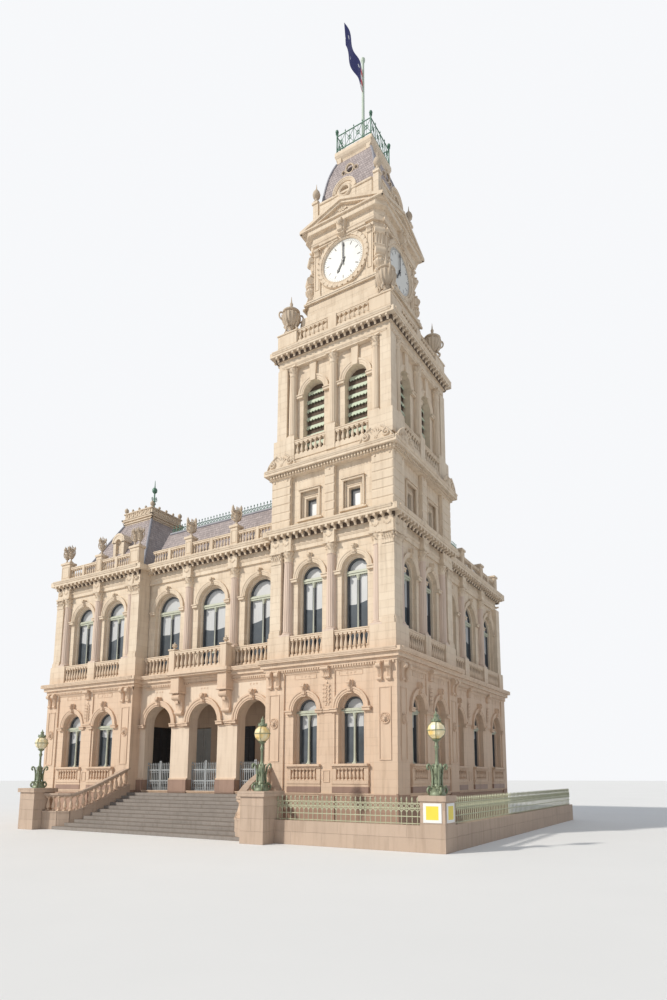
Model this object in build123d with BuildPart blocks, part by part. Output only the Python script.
# Visitor centre with a corner clock tower, a scale model at half size.
# All lengths are in millimetres of the model, +Z is up and the street is at Z 0.
# The origin is the middle of the tower at street level.
# The main front faces -Y and runs towards -X, the side front faces +X.
from build123d import *
import os
import math

os.makedirs("parts", exist_ok=True)

# Plan sizes
TOWER_HALF = 1710
SETBACK = 160
BELFRY_HALF = 1618
PAV_X = -8125
PAV_HALF = 1840
TOWER_UPPER_HALF = 1685
PAV_LEFT = PAV_X - PAV_HALF
PAV_RIGHT = PAV_X + PAV_HALF
ARCADE_X = -3960
BAY = 1620
WALL = 260
ARCADE_WALL = 300
FRONT_Y = -1710
CENTRE_Y = -1430
SIDE_X = 1430
BACK_Y = 6610
RECESS = 150
LOGGIA_BACK = 170
WING_FIRST_Y = 2540

# Levels
RISERS = 11
RISER = 79
TREAD = 165
PORCH_Z = RISERS * RISER
PLINTH_Z = 905
SILL1_Z = 1555
CORNICE1_LOW = 3725
CORNICE1_Z = 3995
FLOOR2_Z = CORNICE1_Z
RAIL2_Z = 4545
CAP2_Z = 6680
CORNICE2_LOW = 6975
CORNICE2_Z = 7200
PARAPET2_Z = 7650
ATTIC_TOP = 8560
CORNICE3_Z = 8770
BELFRY_BASE = 9000
PEDESTAL4_Z = 9600
CAP4_Z = 11560
CORNICE4_LOW = 11810
CORNICE4_Z = 12030
PARAPET4_Z = 12580
STAGE_FOOT = 13600
CLOCK_Z = 14500
CLOCK_R = 633
STAGE_TOP = 15250
PEDIMENT_Z = 15780
APEX_Z = 16200
DOME_FOOT = 16300
DOME_TOP = 18150
CROWN_Z = 18500
POLE_TOP = 21975

# Fits of what moves
GATE_GAP = 12
DOOR_GAP = 10
SPINDLE_FIT = 0.3
PIN_GAP = 0.2

# Directions that a front can face, as a turn about the tower's middle
FRONT = 0
SIDE = 90
BACK = 180
LEFT = 270


def face_plane(turn, out):
    """Upright plane of one front, out millimetres from the middle."""
    a = math.radians(turn)
    return Plane(
        origin=(out * math.sin(a), -out * math.cos(a), 0),
        x_dir=(math.cos(a), math.sin(a), 0),
        z_dir=(math.sin(a), -math.cos(a), 0))


def arch(cx, z0, spring, half, steps=10):
    """Corner points of a round-headed opening."""
    pts = [(cx - half, z0), (cx + half, z0)]
    for k in range(steps + 1):
        a = math.pi * k / steps
        pts.append((cx + half * math.cos(a), spring + half * math.sin(a)))
    return pts


def blocks(items, turn=0, mode=Mode.ADD):
    """Add plain blocks given as x, y and z ranges, turned about the tower's middle."""
    made = []
    for x0, x1, y0, y1, z0, z1 in items:
        box = Solid.make_box(x1 - x0, y1 - y0, z1 - z0, Plane((x0, y0, z0)))
        made.append(box.rotate(Axis.Z, turn))
    add(made, mode=mode)


def plan(d, setback=0):
    """Outline of the whole building, d outside its walls."""
    t = TOWER_HALF - setback + d
    left = PAV_LEFT + setback - d
    right = PAV_RIGHT - setback + d
    return [
        (left, -t), (right, -t), (right, CENTRE_Y + setback - d), (-t, CENTRE_Y + setback - d),
        (-t, -t), (t, -t), (t, t), (SIDE_X - setback + d, t), (SIDE_X - setback + d, BACK_Y - setback + d),
        (left + RECESS, BACK_Y - setback + d), (left + RECESS, t), (left, t)]


def rooms(setback=0):
    """Outline of the inside of the outer walls."""
    t = TOWER_HALF - setback - WALL
    left = PAV_LEFT + setback + WALL + RECESS
    right = PAV_RIGHT - setback - WALL
    centre = CENTRE_Y + setback + WALL
    back = BACK_Y - setback - WALL
    return [
        (left, -t), (right, -t), (right, centre), (-t, centre), (-t, -t), (t, -t),
        (t, t), (SIDE_X - setback - WALL, t), (SIDE_X - setback - WALL, back), (left, back)]


def prism(points, z0, z1, hole=None):
    """Upright prism over a closed outline, with one hole if given."""
    wires = [Wire.make_polygon([(x, y, z0) for x, y in hole])] if hole else []
    face = Face(Wire.make_polygon([(x, y, z0) for x, y in points]), wires)
    return Solid.extrude(face, Vector(0, 0, z1 - z0))


def faceted(rings):
    """Solid with flat faces between outlines that have the same number of corners."""
    faces = [Face(Wire.make_polygon(rings[0])), Face(Wire.make_polygon(rings[-1]))]
    for low, high in zip(rings, rings[1:]):
        for k in range(len(low)):
            m = (k + 1) % len(low)
            faces.append(Face(Wire.make_polygon([low[k], low[m], high[m], high[k]])))
    return Solid(Shell(faces))


def level(x, y, half_x, half_y, z):
    """Corners of a level rectangle about a middle."""
    return [(x - half_x, y - half_y, z), (x + half_x, y - half_y, z),
            (x + half_x, y + half_y, z), (x - half_x, y + half_y, z)]


def ring(d, z0, z1, setback=0):
    """Course that runs round the whole building on its walls."""
    return prism(plan(d, setback), z0, z1, rooms(setback))


def panel(points, turn, out, deep, hole=None):
    """Solid over an outline drawn on one front, reaching deep millimetres inwards."""
    plane = face_plane(turn, out)
    loops = [points] + ([hole] if hole else [])
    wires = [Wire.make_polygon([plane.from_local_coords((x, z, 0)) for x, z in loop]) for loop in loops]
    return Solid.extrude(Face(wires[0], wires[1:]), plane.z_dir * -deep)


def window_cut(turn, out, items, deep, steps=10, reveal=130, order=65):
    """Solids to be cut away for round-headed windows, in two steps, through one front."""
    made = []
    for cx, z0, zs, half in items:
        made.append(panel(arch(cx, z0, zs, half, steps), turn, out, reveal))
        made.append(panel(arch(cx, z0, zs, half - order, steps), turn, out, reveal + deep))
    return made


def finish(builder, name):
    """Label one named piece and write it out."""
    builder.part.label = name
    export_step(builder.part, "parts/" + name + ".step")
    print(name, len(builder.part.solids()), round(builder.part.volume / 1e9, 3))


# Windows and doors of each front as centre, sill, springing and half width
GROUND_TOWER = [(s * 605, SILL1_Z, 2775, 325) for s in (-1, 1)]
GROUND_PAV = [(PAV_X + s * 670, SILL1_Z, 2700, 400) for s in (-1, 1)]
FIRST_TOWER = [(s * 610, 4200, 5970, 350) for s in (-1, 1)]
FIRST_PAV = [(PAV_X + s * 680, 4200, 5930, 430) for s in (-1, 1)]
ARCHES = [(ARCADE_X + k * BAY, PORCH_Z, 2675, 490) for k in (-1, 0, 1)]
FIRST_CENTRE = [(ARCADE_X + k * BAY, 4200, 5875, 485) for k in (-1, 0, 1)]
GROUND_WING = [(WING_FIRST_Y + k * BAY, SILL1_Z, 2700, 400) for k in (0, 1, 2)]
FIRST_WING = [(WING_FIRST_Y + k * BAY, 4200, 5875, 460) for k in (0, 1, 2)]
BELFRY = [(s * 605, 9120, 10775, 310) for s in (-1, 1)]
REAR = [(-9000 + k * 1650, SILL1_Z, 2700, 325) for k in range(6)]
FAR_END = [(-3200 - k * 1700, SILL1_Z, 2700, 325) for k in range(2)]
UPPER = 2645
COLUMN2 = 118
COLUMN4 = 108
TOWER_COL = 1230
PAV_COL = 1400
DEPTH = WALL + 40

# Ground floor walls of the tower, on a foundation slab
def square(half):
    """Corner points of a square about the tower's middle."""
    return [(-half, -half), (half, -half), (half, half), (-half, half)]


with BuildPart() as tower_ground_walls:
    add(prism(square(TOWER_HALF), 0, CORNICE1_LOW, square(TOWER_HALF - WALL)))
    add(prism(square(TOWER_HALF - WALL + 5), 0, 100))
    for turn in (FRONT, SIDE):
        blocks([
            (-TOWER_HALF, -1180, FRONT_Y - 40, FRONT_Y, 0, CORNICE1_LOW),
            (1180, TOWER_HALF, FRONT_Y - 40, FRONT_Y, 0, CORNICE1_LOW),
            (-200, 200, FRONT_Y - 30, FRONT_Y, 0, CORNICE1_LOW)], turn=turn)
    blocks([(TOWER_HALF, TOWER_HALF + 40, FRONT_Y - 40, FRONT_Y, 0, CORNICE1_LOW)])
    cuts = window_cut(FRONT, -FRONT_Y + 41, GROUND_TOWER, DEPTH, reveal=171)
    cuts += window_cut(SIDE, TOWER_HALF + 41, GROUND_TOWER, DEPTH, reveal=171)
    cuts.append(panel(arch(0, PORCH_Z, 2500, 450, 6), BACK, TOWER_HALF + 1, WALL + 2))
    add(cuts, mode=Mode.SUBTRACT)
finish(tower_ground_walls, "tower_ground_walls")

# Ground floor walls of the pavilion, with the wall that closes the loggia
with BuildPart() as pavilion_ground_walls:
    blocks([
        (PAV_LEFT, PAV_RIGHT, FRONT_Y, FRONT_Y + WALL, 0, CORNICE1_LOW),
        (PAV_LEFT, PAV_LEFT + WALL + RECESS, FRONT_Y, TOWER_HALF, 0, CORNICE1_LOW),
        (PAV_RIGHT - WALL, PAV_RIGHT, FRONT_Y, LOGGIA_BACK + 200, 0, CORNICE1_LOW),
        (PAV_LEFT, PAV_LEFT + 500, FRONT_Y - 40, FRONT_Y, 0, CORNICE1_LOW),
        (PAV_RIGHT - 500, PAV_RIGHT, FRONT_Y - 40, FRONT_Y, 0, CORNICE1_LOW),
        (PAV_X - 200, PAV_X + 200, FRONT_Y - 30, FRONT_Y, 0, CORNICE1_LOW)])
    add(window_cut(FRONT, -FRONT_Y + 41, GROUND_PAV, DEPTH, reveal=171), mode=Mode.SUBTRACT)
finish(pavilion_ground_walls, "pavilion_ground_walls")

# Ground floor walls of the side wing, the rear and the far end
with BuildPart() as rear_ground_walls:
    blocks([
        (SIDE_X - WALL, SIDE_X, TOWER_HALF, BACK_Y, 0, CORNICE1_LOW),
        (PAV_LEFT + RECESS, SIDE_X, BACK_Y - WALL, BACK_Y, 0, CORNICE1_LOW),
        (PAV_LEFT + RECESS, PAV_LEFT + RECESS + WALL, TOWER_HALF, BACK_Y, 0, CORNICE1_LOW),
        (SIDE_X, SIDE_X + 40, BACK_Y - 350, BACK_Y, 0, CORNICE1_LOW)])
    cuts = window_cut(SIDE, SIDE_X + 1, GROUND_WING, DEPTH)
    cuts += window_cut(BACK, BACK_Y + 1, [(-x, z0, zs, r) for x, z0, zs, r in REAR], DEPTH, steps=6)
    cuts += window_cut(LEFT, -PAV_LEFT - RECESS + 1, FAR_END, DEPTH, steps=6)
    add(cuts, mode=Mode.SUBTRACT)
finish(rear_ground_walls, "rear_ground_walls")

# Cornice of the ground floor, with the pedestals of the upper columns on it
with BuildPart() as ground_cornice:
    add([ring(60, CORNICE1_LOW, 3800), ring(120, 3800, 3900), ring(190, 3900, CORNICE1_Z)])
    add(prism(square(TOWER_HALF), CORNICE1_LOW, CORNICE1_Z, square(TOWER_HALF - WALL)))
    blocks([
        (PAV_LEFT - 20, PAV_LEFT + 640, FRONT_Y - 20, FRONT_Y + 420, CORNICE1_Z, RAIL2_Z),
        (PAV_RIGHT - 640, PAV_RIGHT + 20, FRONT_Y - 20, FRONT_Y + 420, CORNICE1_Z, RAIL2_Z),
        (PAV_X - 150, PAV_X + 150, FRONT_Y - 20, FRONT_Y + 420, CORNICE1_Z, RAIL2_Z)])
    for turn in (FRONT, SIDE):
        blocks([
            (-TOWER_HALF, -1080, FRONT_Y - 20, FRONT_Y + 420, CORNICE1_Z, RAIL2_Z),
            (1080, TOWER_HALF + 20, FRONT_Y - 20, FRONT_Y + 420, CORNICE1_Z, RAIL2_Z),
            (-150, 150, FRONT_Y - 20, FRONT_Y + 420, CORNICE1_Z, RAIL2_Z)], turn=turn)
    blocks(
        [(ARCADE_X + s * BAY / 2 - 160, ARCADE_X + s * BAY / 2 + 160, CENTRE_Y - 20, CENTRE_Y + 420,
          CORNICE1_Z, RAIL2_Z) for s in (-1, 1)])
    blocks(
        [(SIDE_X - 420, SIDE_X + 20, WING_FIRST_Y + k * BAY - 160, WING_FIRST_Y + k * BAY + 160,
          CORNICE1_Z, RAIL2_Z) for k in (0.5, 1.5)]
        + [(SIDE_X - 420, SIDE_X + 20, BACK_Y - 360, BACK_Y + 20, CORNICE1_Z, RAIL2_Z)])
finish(ground_cornice, "ground_cornice")

# Arcade of three arches between pavilion and tower, on dark stone feet
PIERS = [ARCADE_X + k * BAY / 2 for k in (-1, 1)]
with BuildPart() as entrance_arcade:
    blocks([(PAV_RIGHT, -TOWER_HALF, CENTRE_Y, CENTRE_Y + ARCADE_WALL, 0, CORNICE1_LOW)])
    add([panel(arch(cx, z0, zs, half, 14), FRONT, -CENTRE_Y + 1, ARCADE_WALL + 2)
         for cx, z0, zs, half in ARCHES], mode=Mode.SUBTRACT)
finish(entrance_arcade, "entrance_arcade")

# Back wall of the loggia with two doorways and a blank middle
DOORWAYS = [(ARCADE_X - BAY, "left"), (ARCADE_X + BAY, "right")]
DOOR_HALF = 420
DOOR_TOP = 2680
with BuildPart() as loggia_wall:
    blocks([(PAV_RIGHT, -TOWER_HALF, LOGGIA_BACK, LOGGIA_BACK + 200, PORCH_Z, FLOOR2_Z - 100)])
    blocks([(x - DOOR_HALF, x + DOOR_HALF, LOGGIA_BACK - 1, LOGGIA_BACK + 201, PORCH_Z - 1, DOOR_TOP)
            for x, side in DOORWAYS], mode=Mode.SUBTRACT)
finish(loggia_wall, "loggia_wall")

# Upper walls of the tower, set back behind the columns
DEPTH2 = WALL + 40
UPPER_HALF = TOWER_HALF - SETBACK
with BuildPart() as tower_first_walls:
    add(prism(square(UPPER_HALF), CORNICE1_Z, CAP2_Z, square(UPPER_HALF - WALL)))
    for turn in (FRONT, SIDE):
        blocks([
            (-TOWER_HALF + 25, -TOWER_HALF + 335, FRONT_Y + 25, FRONT_Y + 420, RAIL2_Z, CAP2_Z),
            (TOWER_HALF - 335, TOWER_HALF - 25, FRONT_Y + 25, FRONT_Y + 420, RAIL2_Z, CAP2_Z)], turn=turn)
    add(ground_cornice.part, mode=Mode.SUBTRACT)
    cuts = window_cut(FRONT, UPPER_HALF + 1, FIRST_TOWER, DEPTH2, reveal=91)
    cuts += window_cut(SIDE, UPPER_HALF + 1, FIRST_TOWER, DEPTH2, reveal=91)
    add(cuts, mode=Mode.SUBTRACT)
finish(tower_first_walls, "tower_first_walls")

# Upper walls of the pavilion
with BuildPart() as pavilion_first_walls:
    left, right, front = PAV_LEFT + SETBACK, PAV_RIGHT - SETBACK, FRONT_Y + SETBACK
    blocks([
        (left, right, front, front + WALL, CORNICE1_Z, CAP2_Z),
        (left, left + WALL + RECESS, front, UPPER_HALF, CORNICE1_Z, CAP2_Z),
        (right - WALL, right, front, CENTRE_Y + SETBACK + WALL, CORNICE1_Z, CAP2_Z),
        (PAV_LEFT + 25, PAV_LEFT + 335, FRONT_Y + 25, FRONT_Y + 420, RAIL2_Z, CAP2_Z),
        (PAV_RIGHT - 335, PAV_RIGHT - 25, FRONT_Y + 25, FRONT_Y + 420, RAIL2_Z, CAP2_Z)])
    add(ground_cornice.part, mode=Mode.SUBTRACT)
    add(window_cut(FRONT, UPPER_HALF + 1, FIRST_PAV, DEPTH2, reveal=91), mode=Mode.SUBTRACT)
finish(pavilion_first_walls, "pavilion_first_walls")

# Upper wall over the arcade
with BuildPart() as centre_first_wall:
    front = CENTRE_Y + SETBACK
    blocks([(PAV_RIGHT - SETBACK, -UPPER_HALF, front, front + WALL, CORNICE1_Z, CAP2_Z)])
    add([ground_cornice.part, pavilion_first_walls.part, tower_first_walls.part], mode=Mode.SUBTRACT)
    add(window_cut(FRONT, -front + 1, FIRST_CENTRE, DEPTH2, reveal=91), mode=Mode.SUBTRACT)
finish(centre_first_wall, "centre_first_wall")

# Upper walls of the side wing, the rear and the far end
REAR_UP = [(-x, z0 + UPPER, zs + UPPER + 400, r) for x, z0, zs, r in REAR]
END_UP = [(x, z0 + UPPER, zs + UPPER + 400, r) for x, z0, zs, r in FAR_END]
with BuildPart() as rear_first_walls:
    side, back, end = SIDE_X - SETBACK, BACK_Y - SETBACK, PAV_LEFT + RECESS + SETBACK
    blocks([
        (side - WALL, side, UPPER_HALF, back, CORNICE1_Z, CAP2_Z),
        (end, side, back - WALL, back, CORNICE1_Z, CAP2_Z),
        (end, end + WALL, UPPER_HALF, back, CORNICE1_Z, CAP2_Z),
        (SIDE_X - 200, SIDE_X - 25, BACK_Y - 335, BACK_Y - 25, RAIL2_Z, CAP2_Z)])
    add([ground_cornice.part, tower_first_walls.part], mode=Mode.SUBTRACT)
    cuts = window_cut(SIDE, side + 1, FIRST_WING, DEPTH2, reveal=91)
    cuts += window_cut(BACK, back + 1, REAR_UP, DEPTH2, steps=6)
    cuts += window_cut(LEFT, -end + 1, END_UP, DEPTH2, steps=6)
    add(cuts, mode=Mode.SUBTRACT)
finish(rear_first_walls, "rear_first_walls")

# Entablature that all upper walls and columns carry
with BuildPart() as main_cornice:
    add([ring(50, CAP2_Z, CORNICE2_LOW, SETBACK), ring(140, CORNICE2_LOW, 7060, SETBACK),
         ring(290, 7060, CORNICE2_Z, SETBACK),
         prism(square(UPPER_HALF), CAP2_Z, CORNICE2_Z, square(UPPER_HALF - WALL))])
    heads = [(-TOWER_COL - 150, -TOWER_COL + 150), (-150, 150), (TOWER_COL - 150, TOWER_COL + 150)]
    heads += [(-TOWER_HALF + 25, -TOWER_HALF + 335), (TOWER_HALF - 335, TOWER_HALF - 25)]
    for turn in (FRONT, SIDE):
        blocks([(x0, x1, FRONT_Y, FRONT_Y + 300, CAP2_Z, CORNICE2_LOW) for x0, x1 in heads], turn=turn)
    blocks([(PAV_X + s * PAV_COL - 150, PAV_X + s * PAV_COL + 150, FRONT_Y, FRONT_Y + 300, CAP2_Z, CORNICE2_LOW)
            for s in (-1, 0, 1)])
    blocks([(PAV_LEFT + 25, PAV_LEFT + 335, FRONT_Y + 25, FRONT_Y + 420, CAP2_Z, CORNICE2_LOW),
            (PAV_RIGHT - 335, PAV_RIGHT - 25, FRONT_Y + 25, FRONT_Y + 420, CAP2_Z, CORNICE2_LOW)])
    blocks([(x - 150, x + 150, CENTRE_Y, CENTRE_Y + 300, CAP2_Z, CORNICE2_LOW) for x in PIERS])
    blocks([(SIDE_X - 300, SIDE_X, WING_FIRST_Y + k * BAY - 150, WING_FIRST_Y + k * BAY + 150,
             CAP2_Z, CORNICE2_LOW) for k in (0.5, 1.5)])
finish(main_cornice, "main_cornice")

# Tower above the main cornice: attic stage, cornice, plinth and belfry
ATTIC_HALF = TOWER_HALF - SETBACK + 40
SMALL = [(s * 605, 7475, 7935, 145) for s in (-1, 1)]
CORNERS = [(sx, sy) for sx in (-1, 1) for sy in (-1, 1)]


def canted(half, cut):
    """Corner points of a square with its corners cut off."""
    return [
        (-half + cut, -half), (half - cut, -half), (half, -half + cut), (half, half - cut),
        (half - cut, half), (-half + cut, half), (-half, half - cut), (-half, -half + cut)]


def corner_blocks(inner, outer, z0, z1):
    """Four square corner posts about the tower's middle."""
    return [
        (min(sx * inner, sx * outer), max(sx * inner, sx * outer),
         min(sy * inner, sy * outer), max(sy * inner, sy * outer), z0, z1) for sx, sy in CORNERS]


with BuildPart() as attic_walls:
    add([
        prism(square(ATTIC_HALF), CORNICE2_Z, CORNICE3_Z, square(ATTIC_HALF - WALL - 60)),
        prism(square(1740), ATTIC_TOP, ATTIC_TOP + 90, square(1300)),
        prism(square(1840), ATTIC_TOP + 90, CORNICE3_Z, square(1300)),
        prism(square(1640), CORNICE3_Z, BELFRY_BASE, square(1280))])
    blocks(corner_blocks(1130, TOWER_UPPER_HALF, CORNICE2_Z, ATTIC_TOP))
    cuts = []
    for turn in (FRONT, SIDE, BACK, LEFT):
        blocks([(-135, 135, -TOWER_UPPER_HALF, -1400, CORNICE2_Z, ATTIC_TOP)], turn=turn)
        for cx, z0, z1, half in SMALL:
            frame = [(cx - 305, z0 - 90), (cx + 305, z0 - 90), (cx + 305, z1 + 220), (cx - 305, z1 + 220)]
            light = [(cx - half, z0), (cx + half, z0), (cx + half, z1), (cx - half, z1)]
            cuts.append(panel(frame, turn, ATTIC_HALF + 1, 61))
            cuts.append(panel(light, turn, ATTIC_HALF + 1, 500))
    add(cuts, mode=Mode.SUBTRACT)
finish(attic_walls, "attic_walls")

# Belfry with two tall arched openings in each face, corner piers and its cornice
with BuildPart() as belfry_walls:
    add([
        prism(square(1480), BELFRY_BASE, CAP4_Z, square(1280)),
        prism(square(1600), CAP4_Z, CORNICE4_LOW, square(1280)),
        prism(square(1660), CORNICE4_LOW, 11900, square(1280)),
        prism(square(1778), 11900, CORNICE4_Z, square(1200)),
        prism(square(1640), CORNICE4_Z, 12200, square(1200))])
    blocks(
        corner_blocks(1050, 1675, BELFRY_BASE, PEDESTAL4_Z)
        + corner_blocks(1330, BELFRY_HALF, PEDESTAL4_Z, CAP4_Z))
    cuts = [prism(square(1280), BELFRY_BASE, PEDESTAL4_Z)]
    for turn in (FRONT, SIDE, BACK, LEFT):
        blocks([(-130, 130, -1675, -1400, BELFRY_BASE, PEDESTAL4_Z)], turn=turn)
        for cx, z0, zs, half in BELFRY:
            cuts.append(panel(arch(cx, z0, zs, half, 10), turn, 1481, 202))
    add(cuts, mode=Mode.SUBTRACT)
finish(belfry_walls, "belfry_walls")
TOWER_SHAFT = [attic_walls.part, belfry_walls.part]

# Clock stage with canted corners, pediments and the block behind them
STAGE_HALF = 1075
STAGE_CUT = 200
BLOCK_TOP = 16650
with BuildPart() as clock_stage:
    add([
        prism(canted(1300, 180), 12200, 13100, canted(880, 180)),
        prism(canted(1180, 190), 13100, STAGE_FOOT - 60, canted(880, 180)),
        prism(canted(1240, 200), STAGE_FOOT - 60, STAGE_FOOT, canted(880, 180)),
        prism(canted(STAGE_HALF, STAGE_CUT), STAGE_FOOT, STAGE_TOP, canted(880, 180)),
        prism(canted(1120, 200), STAGE_TOP, 15560, canted(880, 180)),
        prism(canted(1225, 200), 15560, PEDIMENT_Z - 80, canted(880, 180)),
        prism(canted(1000, 200), PEDIMENT_Z - 80, DOME_FOOT, canted(860, 180)),
        prism(canted(1000, 200), DOME_FOOT, BLOCK_TOP, square(855))])
    gable = [(-1225, PEDIMENT_Z - 80), (1225, PEDIMENT_Z - 80), (1225, PEDIMENT_Z), (0, APEX_Z), (-1225, PEDIMENT_Z)]
    tympan = [(-980, PEDIMENT_Z - 60), (980, PEDIMENT_Z - 60), (0, APEX_Z - 110)]
    hood = []
    cuts = []
    for turn in (FRONT, SIDE, BACK, LEFT):
        hood.append(panel(gable, turn, 1225, 260))
        cuts.append(panel(tympan, turn, 1226, 90))
        # Round-headed eye above the pediment
        hood.append(panel(arch(0, 15900, 16640, 330, 8), turn, 1010, 155))
        eye = [(130 * math.cos(k * math.pi / 6), 16640 + 130 * math.sin(k * math.pi / 6)) for k in range(12)]
        cuts.append(panel(eye, turn, 1011, 100))
    add(hood)
    # Pedestals at the corners carry ball finials
    blocks(corner_blocks(855, 1010, 15700, 16700) + corner_blocks(855, 1040, 16700, 16760))
    add(cuts, mode=Mode.SUBTRACT)
finish(clock_stage, "clock_stage")

# Slated dome of the tower, swelling between its foot and the crown
DOME_FOOT_HALF = 850
DOME_STEPS = [(DOME_FOOT, 850), (16700, 835), (17150, 790), (17600, 715), (17950, 620), (DOME_TOP, 545)]
DOME_HOLLOW = [(DOME_FOOT, 770), (16700, 755), (17150, 710), (17600, 635), (17950, 540), (DOME_TOP - 80, 480)]
with BuildPart() as tower_dome:
    add(faceted([level(0, 0, half, half, z) for z, half in DOME_STEPS]))
    add(faceted([level(0, 0, half, half, z) for z, half in DOME_HOLLOW]), mode=Mode.SUBTRACT)
    # One large round hole between two small ones on each side
    holes = []
    for turn in (FRONT, SIDE, BACK, LEFT):
        for x, z, r in ((0, 17560, 98), (-195, 17520, 42), (195, 17520, 42)):
            round_hole = [(x + r * math.cos(k * math.pi / 5), z + r * math.sin(k * math.pi / 5)) for k in range(10)]
            holes.append(panel(round_hole, turn, 850, 400))
    add(holes, mode=Mode.SUBTRACT)
finish(tower_dome, "tower_dome")

# Stone crowns of the tower dome and of the pavilion roof
PAV_ROOF_Y = 300
PAV_CROWN_LOW = 9300
PAV_CROWN_Z = 9720
with BuildPart() as roof_crowns:
    add([
        prism(square(500), DOME_TOP, 18300),
        prism(square(550), 18300, 18380),
        prism(square(588), 18380, CROWN_Z)])
    with Locations((PAV_X, PAV_ROOF_Y, PAV_CROWN_LOW)):
        Box(1240, 1240, 120, align=(Align.CENTER, Align.CENTER, Align.MIN))
    with Locations((PAV_X, PAV_ROOF_Y, PAV_CROWN_LOW + 120)):
        Box(1360, 1360, 80, align=(Align.CENTER, Align.CENTER, Align.MIN))
    with Locations((PAV_X, PAV_ROOF_Y, PAV_CROWN_LOW + 200)):
        Box(1240, 1240, 220, align=(Align.CENTER, Align.CENTER, Align.MIN))
    with Locations((PAV_X, PAV_ROOF_Y, PAV_CROWN_LOW + 260)):
        Box(1120, 1120, 161, align=(Align.CENTER, Align.CENTER, Align.MIN), mode=Mode.SUBTRACT)
    # Round-headed dormer on the front slope
    with BuildPart(mode=Mode.PRIVATE) as dormer:
        add([
            panel(arch(PAV_X, 7880, 8430, 235, 6), FRONT, 1010, 700),
            panel(arch(PAV_X, 8430, 8430, 285, 6), FRONT, 1040, 700)])
        add([
            panel(arch(PAV_X, 7980, 8400, 120, 6), FRONT, 1041, 110),
            faceted([level(PAV_X, PAV_ROOF_Y, 1560, 1680, CORNICE2_Z), level(PAV_X, PAV_ROOF_Y, 620, 620, PAV_CROWN_LOW)])],
            mode=Mode.SUBTRACT)
    add(dormer.part)
finish(roof_crowns, "roof_crowns")

# Steep slated roof of the pavilion
with BuildPart() as pavilion_roof:
    for low, high, top, way in [(1560, 620, PAV_CROWN_LOW, Mode.ADD), (1460, 540, PAV_CROWN_LOW - 100, Mode.SUBTRACT)]:
        rings = [level(PAV_X, PAV_ROOF_Y, low, low + 120, CORNICE2_Z), level(PAV_X, PAV_ROOF_Y, high, high, top)]
        add(faceted(rings), mode=way)
finish(pavilion_roof, "pavilion_roof")

# Slated mansard of the centre, the wing and the rear, with its flat top
MANSARD_TOP = 8550
EAVE = (PAV_LEFT + RECESS + 420, 1150, CENTRE_Y + 300, BACK_Y - 420)
with BuildPart() as main_roof:
    x0, x1, y0, y1 = EAVE
    mid_x, mid_y, half_x, half_y = (x0 + x1) / 2, (y0 + y1) / 2, (x1 - x0) / 2, (y1 - y0) / 2
    for shell, way in [(0, Mode.ADD), (110, Mode.SUBTRACT)]:
        rings = [level(mid_x, mid_y, half_x - shell, half_y - shell, CORNICE2_Z),
                 level(mid_x, mid_y, half_x - 700 - shell, half_y - 700 - shell, MANSARD_TOP - shell)]
        add(faceted(rings), mode=way)
    clear = [
        (-TOWER_HALF - 140, TOWER_HALF + 200, -TOWER_HALF, TOWER_HALF + 160, CORNICE2_Z - 1, MANSARD_TOP + 1),
        (PAV_LEFT - 1, PAV_X + 1561, -TOWER_HALF, PAV_ROOF_Y + 1681, CORNICE2_Z - 1, MANSARD_TOP + 1)]
    blocks(clear, mode=Mode.SUBTRACT)
finish(main_roof, "main_roof")

# Floors that the rows of doors and windows show
GROUND = [tower_ground_walls.part, pavilion_ground_walls.part, rear_ground_walls.part, ground_cornice.part]
UPPERS = [
    tower_first_walls.part, pavilion_first_walls.part, centre_first_wall.part, rear_first_walls.part,
    main_cornice.part]
with BuildPart() as floors:
    add([
        prism(rooms(0), PORCH_Z - 100, PORCH_Z),
        prism(rooms(0), FLOOR2_Z - 100, FLOOR2_Z),
        prism(rooms(SETBACK), CORNICE2_Z - 100, CORNICE2_Z),
        prism(square(1280), BELFRY_BASE - 100, BELFRY_BASE),
        prism(square(1200), 12100, 12200)])
    add(GROUND + UPPERS + TOWER_SHAFT + [entrance_arcade.part, loggia_wall.part], mode=Mode.SUBTRACT)
finish(floors, "floors")


def shaft(x, y, r, z0, z1, sides=8):
    """Upright shaft with flat facets and a plain base and cap."""
    def round_of(rad):
        turn = math.pi / sides
        return [(x + rad * math.cos(2 * math.pi * k / sides + turn),
                 y + rad * math.sin(2 * math.pi * k / sides + turn)) for k in range(sides)]
    square_of = [(x - r - 22, y - r - 22), (x + r + 22, y - r - 22), (x + r + 22, y + r + 22), (x - r - 22, y + r + 22)]
    return [
        prism(square_of, z0, z0 + 60),
        prism(round_of(r), z0 + 60, z1 - 200),
        prism(round_of(r + 12), z1 - 200, z1 - 60),
        prism(square_of, z1 - 60, z1)]


def turned(point, turn):
    """Plan position turned about the tower's middle."""
    a = math.radians(turn)
    x, y = point
    return x * math.cos(a) - y * math.sin(a), x * math.sin(a) + y * math.cos(a)


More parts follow.
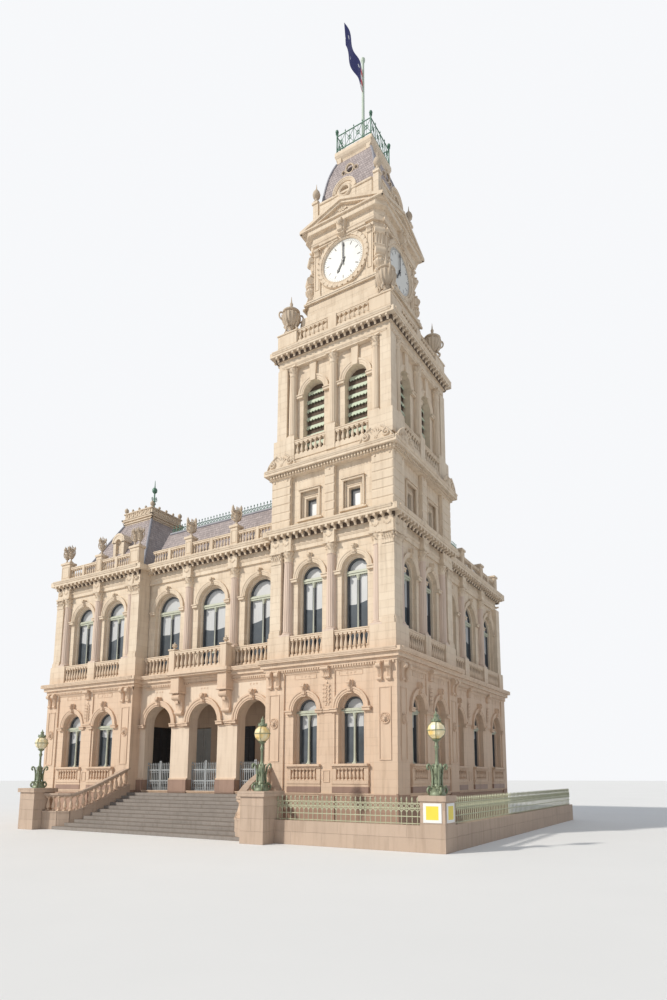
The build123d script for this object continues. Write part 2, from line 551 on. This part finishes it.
# Columns of the upper storey and of the belfry
COLUMN2_OUT = 1570
spots = [turned((x, -COLUMN2_OUT), turn) for turn in (FRONT, SIDE) for x in (-TOWER_COL, 0, TOWER_COL)]
spots += [(PAV_X + s * PAV_COL, -COLUMN2_OUT) for s in (-1, 0, 1)]
spots += [(x, -COLUMN2_OUT - FRONT_Y + CENTRE_Y) for x in PIERS]
spots += [(COLUMN2_OUT + SIDE_X - TOWER_HALF, WING_FIRST_Y + k * BAY) for k in (0.5, 1.5)]
with BuildPart() as columns:
    made = []
    for x, y in spots:
        made += shaft(x, y, COLUMN2, RAIL2_Z, CAP2_Z)
    for turn in (FRONT, SIDE, BACK, LEFT):
        for x in (-1190, 0, 1190):
            px, py = turned((x, -1530), turn)
            made += shaft(px, py, COLUMN4, PEDESTAL4_Z, CAP4_Z)
    add(made)
    add(UPPERS + TOWER_SHAFT + [ground_cornice.part], mode=Mode.SUBTRACT)
finish(columns, "columns")


def balustrade(turn, x0, x1, out, z0, z1, count, deep=100, base=70, rail=75, thick=60):
    """Blocks of one straight balustrade as seen on its front."""
    made = [(x0, x1, -out, -out + deep, z0, z0 + base), (x0, x1, -out, -out + deep, z1 - rail, z1)]
    step = (x1 - x0) / count
    mid = -out + deep / 2
    for k in range(count):
        x = x0 + (k + 0.5) * step
        made.append((x - thick / 2, x + thick / 2, mid - thick / 2, mid + thick / 2, z0 + base, z1 - rail))
    return made


# Balustrades in front of the upper windows and of the belfry
with BuildPart() as balustrades:
    for turn in (FRONT, SIDE):
        for x0, x1 in [(-1080, -150), (150, 1080)]:
            blocks(balustrade(turn, x0, x1, 1700, CORNICE1_Z, RAIL2_Z, 7), turn=turn)
    for x0, x1 in [(PAV_LEFT + 640, PAV_X - 150), (PAV_X + 150, PAV_RIGHT - 640)]:
        blocks(balustrade(FRONT, x0, x1, 1700, CORNICE1_Z, RAIL2_Z, 7))
    for x0, x1 in [(PAV_RIGHT, PIERS[0] - 160), (PIERS[1] + 160, -TOWER_HALF)]:
        blocks(balustrade(FRONT, x0, x1, -CENTRE_Y - 10, CORNICE1_Z, RAIL2_Z, 8))
    for y0, y1 in [(TOWER_HALF, WING_FIRST_Y + BAY / 2 - 160),
                   (WING_FIRST_Y + BAY / 2 + 160, WING_FIRST_Y + 1.5 * BAY - 160),
                   (WING_FIRST_Y + 1.5 * BAY + 160, BACK_Y - 360)]:
        blocks(balustrade(SIDE, y0, y1, SIDE_X - 10, CORNICE1_Z, RAIL2_Z, 8), turn=SIDE)
    for turn in (FRONT, SIDE, BACK, LEFT):
        for x0, x1 in [(-1050, -130), (130, 1050)]:
            blocks(balustrade(turn, x0, x1, 1660, BELFRY_BASE, 9500, 6, base=120), turn=turn)
    add([ground_cornice.part, tower_first_walls.part], mode=Mode.SUBTRACT)
finish(balustrades, "balustrades")

# Parapets of the main roof and of the tower
with BuildPart() as parapets:
    POST2 = 7825
    runs = [
        (FRONT, PAV_LEFT + 160, PAV_X - 110, 1650), (FRONT, PAV_X + 110, PAV_RIGHT - 160, 1650),
        (FRONT, PAV_RIGHT + 120, PIERS[0] - 110, 1370), (FRONT, PIERS[0] + 110, PIERS[1] - 110, 1370),
        (FRONT, PIERS[1] + 110, -TOWER_UPPER_HALF - 60, 1370),
        (SIDE, TOWER_UPPER_HALF + 60, WING_FIRST_Y + BAY / 2 - 110, 1370),
        (SIDE, WING_FIRST_Y + BAY / 2 + 110, WING_FIRST_Y + 1.5 * BAY - 110, 1370),
        (SIDE, WING_FIRST_Y + 1.5 * BAY + 110, BACK_Y - 380, 1370)]
    for turn, x0, x1, out in runs:
        mid = (x0 + x1) / 2
        half = balustrade(turn, x0, mid - 50, out, CORNICE2_Z, PARAPET2_Z, 4, base=120)
        half += balustrade(turn, mid + 50, x1, out, CORNICE2_Z, PARAPET2_Z, 4, base=120)
        half.append((mid - 50, mid + 50, -out, -out + 100, CORNICE2_Z, PARAPET2_Z))
        blocks(half, turn=turn)
    posts = [(PAV_LEFT + 310, 1690, 190), (PAV_X, 1690, 120), (PAV_RIGHT - 310, 1690, 190)]
    posts += [(x, 1410, 120) for x in PIERS]
    blocks([(x - half, x + half, -out, -out + 200, CORNICE2_Z, POST2) for x, out, half in posts])
    blocks([(WING_FIRST_Y + k * BAY - 120, WING_FIRST_Y + k * BAY + 120, -1410, -1210, CORNICE2_Z, POST2)
            for k in (0.5, 1.5)] + [(BACK_Y - 400, BACK_Y - 160, -1410, -1170, CORNICE2_Z, POST2)], turn=SIDE)
    # Plain parapet of the rear and of the far end
    blocks([
        (PAV_LEFT + RECESS + 60, 1170, BACK_Y - 260, BACK_Y - 120, CORNICE2_Z, 7500),
        (PAV_LEFT + RECESS + 60, PAV_LEFT + RECESS + 200, 2100, BACK_Y - 120, CORNICE2_Z, 7500)])
    # Belfry parapet
    blocks(corner_blocks(1050, 1640, 12200, PARAPET4_Z))
    for turn in (FRONT, SIDE, BACK, LEFT):
        rows = balustrade(turn, -1050, -125, 1600, 12200, PARAPET4_Z, 7, base=60)
        rows += balustrade(turn, 125, 1050, 1600, 12200, PARAPET4_Z, 7, base=60)
        rows.append((-125, 125, -1620, -1480, 12200, PARAPET4_Z))
        blocks(rows, turn=turn)
    add(TOWER_SHAFT + [clock_stage.part, main_roof.part, pavilion_roof.part, main_cornice.part],
        mode=Mode.SUBTRACT)
finish(parapets, "parapets")

# Balcony over the middle arch on two consoles
with BuildPart() as balcony:
    x0, x1 = PIERS[0] - 180, PIERS[1] + 180
    rows = [(x0 - 60, x1 + 60, -1800, CENTRE_Y - 120, 3860, CORNICE1_Z)]
    rows += balustrade(FRONT, x0 + 200, x1 - 200, 1750, CORNICE1_Z, RAIL2_Z, 11)
    for x in (x0, x1 - 200):
        rows.append((x, x + 200, -1770, -1570, CORNICE1_Z, RAIL2_Z + 60))
        rows.append((x + 50, x + 150, -1570, -1450, CORNICE1_Z, RAIL2_Z))
    for x in PIERS:
        rows.append((x - 150, x + 150, -1700, CENTRE_Y, 3450, 3860))
        rows.append((x - 130, x + 130, -1560, CENTRE_Y, 2900, 3450))
    blocks(rows)
    add([ground_cornice.part, entrance_arcade.part], mode=Mode.SUBTRACT)
finish(balcony, "balcony")

# Curving walls beside the entrance steps, with rail and balusters
PIER_OFF = 3560
PIER_Y = -3500
SWEEP = [(2390, -1760), (2395, -2060), (2420, -2360), (2475, -2650), (2575, -2920), (2730, -3150),
         (2940, -3320), (3180, -3420), (3280, -3450)]
CURB_FLAT = 445
CURB_TOP = 1095
RAIL_UP = 430


def band(half, side):
    """Plan of the curving wall, half its thickness to each side of its line."""
    out, back = [], []
    for k, (x, y) in enumerate(SWEEP):
        ax, ay = SWEEP[max(k - 1, 0)]
        bx, by = SWEEP[min(k + 1, len(SWEEP) - 1)]
        n = math.hypot(bx - ax, by - ay)
        nx, ny = (by - ay) / n, -(bx - ax) / n
        out.append((ARCADE_X + side * (x + half * nx), y + half * ny))
        back.append((ARCADE_X + side * (x - half * nx), y - half * ny))
    return out + back[::-1]


def slope_under(up, low=None):
    """Solid under the falling line of the stair walls, or between two such lines."""
    line = [(-1700, CURB_TOP + up), (-1760, CURB_TOP + up), (-3080, CURB_FLAT + up), (-3700, CURB_FLAT + up)]
    if low is None:
        under = [(-3700, 0), (-1700, 0)]
    else:
        under = [(-3700, CURB_FLAT + low), (-3080, CURB_FLAT + low), (-1760, CURB_TOP + low), (-1700, CURB_TOP + low)]
    wire = Wire.make_polygon([(ARCADE_X - 4200, y, z) for y, z in line + under])
    return Solid.extrude(Face(wire), Vector(8400, 0, 0))


with BuildPart() as stair_walls:
    for side in (-1, 1):
        with BuildPart(mode=Mode.PRIVATE) as curb:
            add(prism(band(100, side), 0, 1600))
            add(slope_under(0), mode=Mode.INTERSECT)
        with BuildPart(mode=Mode.PRIVATE) as rail:
            add(prism(band(80, side), 0, 1600))
            add(slope_under(RAIL_UP, RAIL_UP - 80), mode=Mode.INTERSECT)
        with BuildPart(mode=Mode.PRIVATE) as posts:
            count = 13
            for k in range(count):
                t = (k + 0.5) / count * (len(SWEEP) - 1)
                i = int(t)
                f = t - i
                x = SWEEP[i][0] * (1 - f) + SWEEP[i + 1][0] * f
                y = SWEEP[i][1] * (1 - f) + SWEEP[i + 1][1] * f
                blocks([(ARCADE_X + side * x - 32, ARCADE_X + side * x + 32, y - 32, y + 32, 0, 1700)])
            add(slope_under(RAIL_UP - 79, -1), mode=Mode.INTERSECT)
        add([curb.part, rail.part, posts.part])
    add(GROUND, mode=Mode.SUBTRACT)
finish(stair_walls, "stair_walls")

# Entrance steps as one solid flight
with BuildPart() as entrance_steps:
    rows = [(PAV_RIGHT, -TOWER_HALF, CENTRE_Y - 370, CENTRE_Y, 0, PORCH_Z)]
    for k in range(RISERS):
        y = CENTRE_Y - 370 - (RISERS - 1 - k) * TREAD
        half = 2390 if y > -2700 else 2390 + (-2700 - y) * 1.1
        rows.append((ARCADE_X - half, ARCADE_X + half, y, CENTRE_Y - 330, k * RISER, (k + 1) * RISER))
    blocks(rows)
    add(GROUND + [stair_walls.part], mode=Mode.SUBTRACT)
    # What lies outside the curving walls is not part of the flight
    flight = entrance_steps.part.solids().sort_by(SortBy.VOLUME)[-1]
    add(flight, mode=Mode.REPLACE)
finish(entrance_steps, "entrance_steps")

# Piers and low walls along the street
CORNER = (3225, -3200)
FENCE_WALL_Z = 450
with BuildPart() as street_walls:
    rows = []
    for side in (-1, 1):
        x = ARCADE_X + side * PIER_OFF
        rows.append((x - 285, x + 285, PIER_Y - 285, PIER_Y + 285, 0, 900))
        rows.append((x - 330, x + 330, PIER_Y - 330, PIER_Y + 330, 900, 1000))
    cx, cy = CORNER
    rows += [
        (cx - 230, cx + 230, cy - 230, cy + 230, 0, 860),
        (cx - 255, cx + 255, cy - 255, cy + 255, 860, 955),
        (ARCADE_X + PIER_OFF + 285, cx - 230, -3430, -3270, 0, FENCE_WALL_Z),
        (cx + 60, cx + 220, cy + 230, BACK_Y, 0, FENCE_WALL_Z)]
    blocks(rows)
    add(stair_walls.part, mode=Mode.SUBTRACT)
finish(street_walls, "street_walls")

# Cast-iron fence panels on the low walls
def fence(x0, x1, y, z0, z1, count):
    """Rails and bars of one straight run along X at y."""
    rows = [(x0, x1, y - 12, y + 12, z0 + 30, z0 + 54), (x0, x1, y - 12, y + 12, z1 - 120, z1 - 90)]
    step = (x1 - x0) / count
    for k in range(count):
        x = x0 + (k + 0.5) * step
        rows.append((x - 9, x + 9, y - 9, y + 9, z0, z1))
    return rows


with BuildPart() as fence_panels:
    blocks(fence(ARCADE_X + PIER_OFF + 285, CORNER[0] - 230, -3350, FENCE_WALL_Z, 930, 22))
    blocks(fence(CORNER[1] + 230, BACK_Y, -CORNER[0] - 140, FENCE_WALL_Z, 930, 60), turn=SIDE)
finish(fence_panels, "fence_panels")


def stacked(x, y, levels, sides=8):
    """Solid through round sections given as height and radius."""
    rings = []
    for z, r in levels:
        rings.append([(x + r * math.cos(2 * math.pi * (k + 0.5) / sides),
                       y + r * math.sin(2 * math.pi * (k + 0.5) / sides), z) for k in range(sides)])
    return faceted(rings)


# Lamp standards with round globes on the three piers
LAMPS = [(ARCADE_X - PIER_OFF, PIER_Y, 1000), (ARCADE_X + PIER_OFF, PIER_Y, 1000), (CORNER[0], CORNER[1], 955)]
GLOBE_UP = 1130
GLOBE_R = 160
with BuildPart() as lamp_standards:
    made = []
    for x, y, z in LAMPS:
        made.append(stacked(x, y, [(z, 150), (z + 60, 150), (z + 130, 75), (z + 420, 90), (z + 480, 45),
                                   (z + 760, 28), (z + GLOBE_UP - GLOBE_R, 40)]))
        made.append(stacked(x, y, [(z + GLOBE_UP + GLOBE_R, 60), (z + GLOBE_UP + GLOBE_R + 60, 45),
                                   (z + GLOBE_UP + GLOBE_R + 180, 8)]))
    add(made)
finish(lamp_standards, "lamp_standards")

with BuildPart() as lamp_globes:
    made = []
    for x, y, z in LAMPS:
        rows = [(z + GLOBE_UP + GLOBE_R * math.sin(a), max(GLOBE_R * math.cos(a), 40))
                for a in [math.radians(d) for d in (-90, -60, -30, 0, 30, 60, 90)]]
        made.append(stacked(x, y, rows, 12))
    add(made)
finish(lamp_globes, "lamp_globes")


def frame_rows(turn, out, items, steps=8, rim=42, deep=50, bars=True):
    """Frames that fill round-headed openings: a rim, a transom and a middle bar."""
    made = []
    for cx, z0, zs, half in items:
        made.append(panel(arch(cx, z0, zs, half, steps), turn, out, deep,
                          arch(cx, z0 + rim, zs, half - rim, steps)))
        if bars:
            plane_y0, plane_y1 = -out, -out + deep
            rows = [(cx - half + rim, cx + half - rim, plane_y0, plane_y1, zs - 60, zs - 10),
                    (cx - 28, cx + 28, plane_y0, plane_y1, z0 + rim, zs - 60)]
            for x0, x1, y0, y1, za, zb in rows:
                box = Solid.make_box(x1 - x0, y1 - y0, zb - za, Plane((x0, y0, za)))
                made.append(box.rotate(Axis.Z, turn))
    return made


def inner_order(items, order=65):
    """Openings as wide as the inner step of their reveals."""
    return [(cx, z0, zs, half - order) for cx, z0, zs, half in items]


# Window frames and glass of every front
GLASS = 8
REAR_GROUND = [(-x, z0, zs, r) for x, z0, zs, r in REAR]
LIGHTS = [
    (FRONT, TOWER_HALF - 175, GROUND_TOWER + GROUND_PAV, 10),
    (SIDE, TOWER_HALF - 175, GROUND_TOWER, 10),
    (SIDE, SIDE_X - 175, GROUND_WING, 10),
    (FRONT, TOWER_HALF - SETBACK - 150, FIRST_TOWER + FIRST_PAV, 10),
    (SIDE, TOWER_HALF - SETBACK - 150, FIRST_TOWER, 10),
    (FRONT, -CENTRE_Y - SETBACK - 150, FIRST_CENTRE, 10),
    (SIDE, SIDE_X - SETBACK - 150, FIRST_WING, 10),
    (BACK, BACK_Y - 175, REAR_GROUND, 6),
    (BACK, BACK_Y - SETBACK - 175, REAR_UP, 6),
    (LEFT, -PAV_LEFT - RECESS - 175, FAR_END, 6),
    (LEFT, -PAV_LEFT - RECESS - SETBACK - 175, END_UP, 6)]
with BuildPart() as window_frames:
    made = []
    for turn, out, items, steps in LIGHTS:
        made += frame_rows(turn, out, inner_order(items), steps, bars=steps > 6)
    for turn in (FRONT, SIDE, BACK, LEFT):
        for cx, z0, z1, half in SMALL:
            rim = [(cx - half, z0), (cx + half, z0), (cx + half, z1), (cx - half, z1)]
            gap = [(cx - half + 30, z0 + 30), (cx + half - 30, z0 + 30), (cx + half - 30, z1 - 30), (cx - half + 30, z1 - 30)]
            made.append(panel(rim, turn, ATTIC_HALF - 140, 40, gap))
    add(made)
finish(window_frames, "window_frames")

with BuildPart() as window_glass:
    made = []
    for turn, out, items, steps in LIGHTS:
        for cx, z0, zs, half in inner_order(items):
            made.append(panel(arch(cx, z0, zs, half, steps), turn, out - 50, GLASS))
    for turn in (FRONT, SIDE, BACK, LEFT):
        for cx, z0, z1, half in SMALL:
            rim = [(cx - half, z0), (cx + half, z0), (cx + half, z1), (cx - half, z1)]
            made.append(panel(rim, turn, ATTIC_HALF - 180, GLASS))
    add(made)
finish(window_glass, "window_glass")

# Sloping louvres of the belfry openings
LOUVRES = 7
with BuildPart() as louvres:
    made = []
    pitch = (10775 + 200 - 9120) / LOUVRES
    for turn in (FRONT, SIDE, BACK, LEFT):
        for cx, z0, zs, half in BELFRY:
            for k in range(LOUVRES):
                z = z0 + 60 + k * pitch
                w = half if z + 150 < zs else math.sqrt(half ** 2 - (z + 150 - zs) ** 2) + 20
                side_line = [(-1462, z), (-1385, z + 205), (-1365, z + 205), (-1442, z)]
                wire = Wire.make_polygon([(cx - w, y, zz) for y, zz in side_line])
                made.append(Solid.extrude(Face(wire), Vector(2 * w, 0, 0)).rotate(Axis.Z, turn))
    add(made)
    add(TOWER_SHAFT, mode=Mode.SUBTRACT)
finish(louvres, "louvres")


def disc(turn, out, deep, r, z, sides, hole=0):
    """Upright round plate on one front."""
    rim = [(r * math.cos(2 * math.pi * k / sides), z + r * math.sin(2 * math.pi * k / sides)) for k in range(sides)]
    inner = None
    if hole:
        inner = [(hole * math.cos(2 * math.pi * k / sides), z + hole * math.sin(2 * math.pi * k / sides))
                 for k in range(sides)]
    return panel(rim, turn, out, deep, inner)


# Four dials with a raised rim and a middle boss
DIAL_OUT = STAGE_HALF + 10
BOSS = 6
HAND_THICK = 8
HAND_STEP = 6
SPINDLE = 14
HOUR_OUT = DIAL_OUT + BOSS + HAND_STEP + HAND_THICK
MINUTE_OUT = HOUR_OUT + HAND_STEP + HAND_THICK
with BuildPart() as clock_dials:
    made = []
    for turn in (FRONT, SIDE, BACK, LEFT):
        made.append(disc(turn, DIAL_OUT, 10, CLOCK_R, CLOCK_Z, 32))
        made.append(disc(turn, DIAL_OUT + 30, 40, 700, CLOCK_Z, 32, CLOCK_R))
        made.append(disc(turn, DIAL_OUT + BOSS, BOSS, 34, CLOCK_Z, 12))
        made.append(disc(turn, MINUTE_OUT + 4, MINUTE_OUT + 4 - DIAL_OUT, SPINDLE, CLOCK_Z, 16))
    add(made)
finish(clock_dials, "clock_dials")


def hand(turn, out, length, tail, width, hub, angle):
    """Flat clock hand with a hub, its tip at angle clockwise from upright."""
    a = math.radians(angle)
    shape = [(-width / 2, -tail), (width / 2, -tail), (width / 2, length * 0.72), (width, length * 0.78),
             (0, length), (-width, length * 0.78), (-width / 2, length * 0.72)]
    pts = [(x * math.cos(a) + z * math.sin(a), CLOCK_Z - x * math.sin(a) + z * math.cos(a)) for x, z in shape]
    return [panel(pts, turn, out, HAND_THICK), disc(turn, out, HAND_THICK, hub, CLOCK_Z, 12)]


# Hands of the four dials, at seven o'clock
for face_name, turn in (("front", FRONT), ("side", SIDE), ("back", BACK), ("left", LEFT)):
    eye = disc(turn, MINUTE_OUT + 1, MINUTE_OUT - DIAL_OUT, SPINDLE + SPINDLE_FIT, CLOCK_Z, 16)
    with BuildPart() as minute_hand:
        add(hand(turn, MINUTE_OUT, 560, 130, 30, 36, 0))
        add(eye, mode=Mode.SUBTRACT)
    finish(minute_hand, "minute_hand_" + face_name)
    with BuildPart() as hour_hand:
        add(hand(turn, HOUR_OUT, 360, 100, 44, 44, 210))
        add(eye, mode=Mode.SUBTRACT)
    finish(hour_hand, "hour_hand_" + face_name)

# Iron gate leaves that stand in the three arches
GATE_Y = CENTRE_Y + 150
GATE_TOP = PORCH_Z + 640
GATE_STILE = 30
for name, cx in (("west", ARCHES[0][0]), ("middle", ARCHES[1][0]), ("east", ARCHES[2][0])):
    for side, word in ((-1, "left"), (1, "right")):
        hinge = cx + side * (490 - GATE_GAP - GATE_STILE / 2)
        free = cx + side * (GATE_GAP / 2 + GATE_STILE / 2)
        x0, x1 = min(hinge, free), max(hinge, free)
        y0, y1 = GATE_Y - GATE_STILE / 2, GATE_Y + GATE_STILE / 2
        with BuildPart() as gate:
            rows = [
                (hinge - 15, hinge + 15, y0, y1, PORCH_Z + 20, GATE_TOP + 40),
                (free - 15, free + 15, y0, y1, PORCH_Z + 20, GATE_TOP + 140),
                (x0, x1, y0 + 4, y1 - 4, PORCH_Z + 40, PORCH_Z + 70),
                (x0, x1, y0 + 4, y1 - 4, PORCH_Z + 300, PORCH_Z + 325),
                (x0, x1, y0 + 4, y1 - 4, GATE_TOP - 60, GATE_TOP - 35)]
            for k in range(1, 7):
                x = x0 + (x1 - x0) * k / 7
                rows.append((x - 8, x + 8, GATE_Y - 8, GATE_Y + 8, PORCH_Z + 40, GATE_TOP + 60))
            blocks(rows)
        finish(gate, "gate_" + name + "_" + word)

# Panelled double doors of the hall behind the loggia
DOOR_THICK = 44
DOOR_CLEAR = 16
DOOR_Y = LOGGIA_BACK + 140 + DOOR_THICK / 2
for x, word in DOORWAYS:
    for side in (-1, 1):
        outer = x + side * (DOOR_HALF - DOOR_CLEAR)
        inner = x + side * DOOR_CLEAR / 2
        x0, x1 = min(outer, inner), max(outer, inner)
        with BuildPart() as door:
            blocks([(x0, x1, DOOR_Y - DOOR_THICK / 2, DOOR_Y + DOOR_THICK / 2, PORCH_Z + DOOR_GAP, DOOR_TOP - DOOR_GAP)])
            blocks([(x0 + 60, x1 - 60, DOOR_Y - 23, DOOR_Y - 10, za, zb)
                    for za, zb in [(PORCH_Z + 120, PORCH_Z + 620), (PORCH_Z + 760, DOOR_TOP - 120)]],
                   mode=Mode.SUBTRACT)
        finish(door, "door_" + word + ("_a" if side < 0 else "_b"))

# Pins under and over the hinge side of every gate and door leaf
with BuildPart() as hinge_pins:
    rows = []
    for cx, z0, zs, half in ARCHES:
        for side in (-1, 1):
            hinge = cx + side * (half - GATE_GAP - GATE_STILE / 2)
            jamb = cx + side * half
            x0, x1 = min(hinge - side * 9, jamb), max(hinge - side * 9, jamb)
            rows.append((x0, x1, GATE_Y - 9, GATE_Y + 9, PORCH_Z, PORCH_Z + 20 - PIN_GAP))
            rows.append((x0, x1, GATE_Y - 9, GATE_Y + 9, GATE_TOP + 40 + PIN_GAP, GATE_TOP + 60))
    for x, word in DOORWAYS:
        for side in (-1, 1):
            hinge = x + side * (DOOR_HALF - DOOR_CLEAR - DOOR_THICK / 2)
            for z0, z1 in ((PORCH_Z, PORCH_Z + DOOR_GAP - PIN_GAP), (DOOR_TOP - DOOR_GAP + PIN_GAP, DOOR_TOP)):
                rows.append((hinge - 14, hinge + 14, DOOR_Y - 14, DOOR_Y + 14, z0, z1))
    blocks(rows)
finish(hinge_pins, "hinge_pins")

# Flagpole, deck railing of the tower and finial of the pavilion
with BuildPart() as roof_ironwork:
    made = [stacked(0, 0, [(CROWN_Z, 90), (CROWN_Z + 120, 90), (CROWN_Z + 200, 48), (POLE_TOP - 150, 34)]),
            stacked(0, 0, [(POLE_TOP - 150, 20), (POLE_TOP - 110, 62), (POLE_TOP - 40, 62), (POLE_TOP, 16)]),
            stacked(PAV_X, PAV_ROOF_Y, [(PAV_CROWN_LOW + 260, 120), (9760, 90), (9900, 34), (10560, 24)]),
            stacked(PAV_X, PAV_ROOF_Y, [(10560, 24), (10610, 80), (10700, 80), (10750, 20), (11000, 8)])]
    add(made)
    rows = []
    for sx, sy in CORNERS:
        rows.append((sx * 540 - 18, sx * 540 + 18, sy * 540 - 18, sy * 540 + 18, CROWN_Z, CROWN_Z + 1050))
    for z in (CROWN_Z + 120, CROWN_Z + 640):
        rows += [(-540, 540, -550, -530, z, z + 24), (-540, 540, 530, 550, z, z + 24),
                 (-550, -530, -540, 540, z, z + 24), (530, 550, -540, 540, z, z + 24)]
    for k in range(1, 8):
        x = -540 + k * 135
        for y in (-540, 540):
            rows.append((x - 9, x + 9, y - 9, y + 9, CROWN_Z, CROWN_Z + 760))
            rows.append((y - 9, y + 9, x - 9, x + 9, CROWN_Z, CROWN_Z + 760))
    blocks(rows)
finish(roof_ironwork, "roof_ironwork")

# Vases and finials that stand on the parapets, the belfry and the clock stage
VASE = [(0, 95), (60, 95), (90, 40), (150, 60), (230, 150), (300, 140), (350, 90), (420, 60), (475, 12)]
SLIM = [(0, 70), (50, 70), (80, 32), (140, 45), (220, 95), (290, 88), (340, 55), (420, 38), (475, 8)]
TALL = [(0, 210), (120, 210), (170, 110), (300, 160), (520, 250), (760, 240), (810, 150), (900, 120), (1240, 25)]
ROUND = [(0, 28), (40, 28), (60, 60), (110, 75), (160, 55), (190, 10)]
BALL = [(0, 60), (160, 40), (200, 95), (300, 120), (400, 80), (440, 20)]
with BuildPart() as roof_vases:
    made = []
    spots = [(x, -1310, POST2, VASE) for x in PIERS]
    spots += [(x + s * 100, -1590, POST2, SLIM) for x in (PAV_LEFT + 310, PAV_RIGHT - 310) for s in (-1, 1)]
    spots += [(PAV_X, -1590, POST2, SLIM)]
    spots += [(PAV_X + sx * 590, PAV_ROOF_Y + sy * 590, PAV_CROWN_LOW + 420, ROUND) for sx, sy in CORNERS]
    spots += [(sx * 1400, sy * 1400, PARAPET4_Z, TALL) for sx, sy in CORNERS]
    spots += [(sx * 945, sy * 945, 16760, BALL) for sx, sy in CORNERS]
    for x, y, z, shape in spots:
        made.append(stacked(x, y, [(z + h, r) for h, r in shape]))
    add(made)
finish(roof_vases, "roof_vases")

# Flag, stiff in the wind from the pole towards the street
with BuildPart() as flag:
    cloth = [(-18, -25), (18, -25), (130, -700), (190, -1330), (150, -1330), (92, -700)]
    add(prism(cloth, 20750, 21550))
    add(roof_ironwork.part, mode=Mode.SUBTRACT)
finish(flag, "flag")
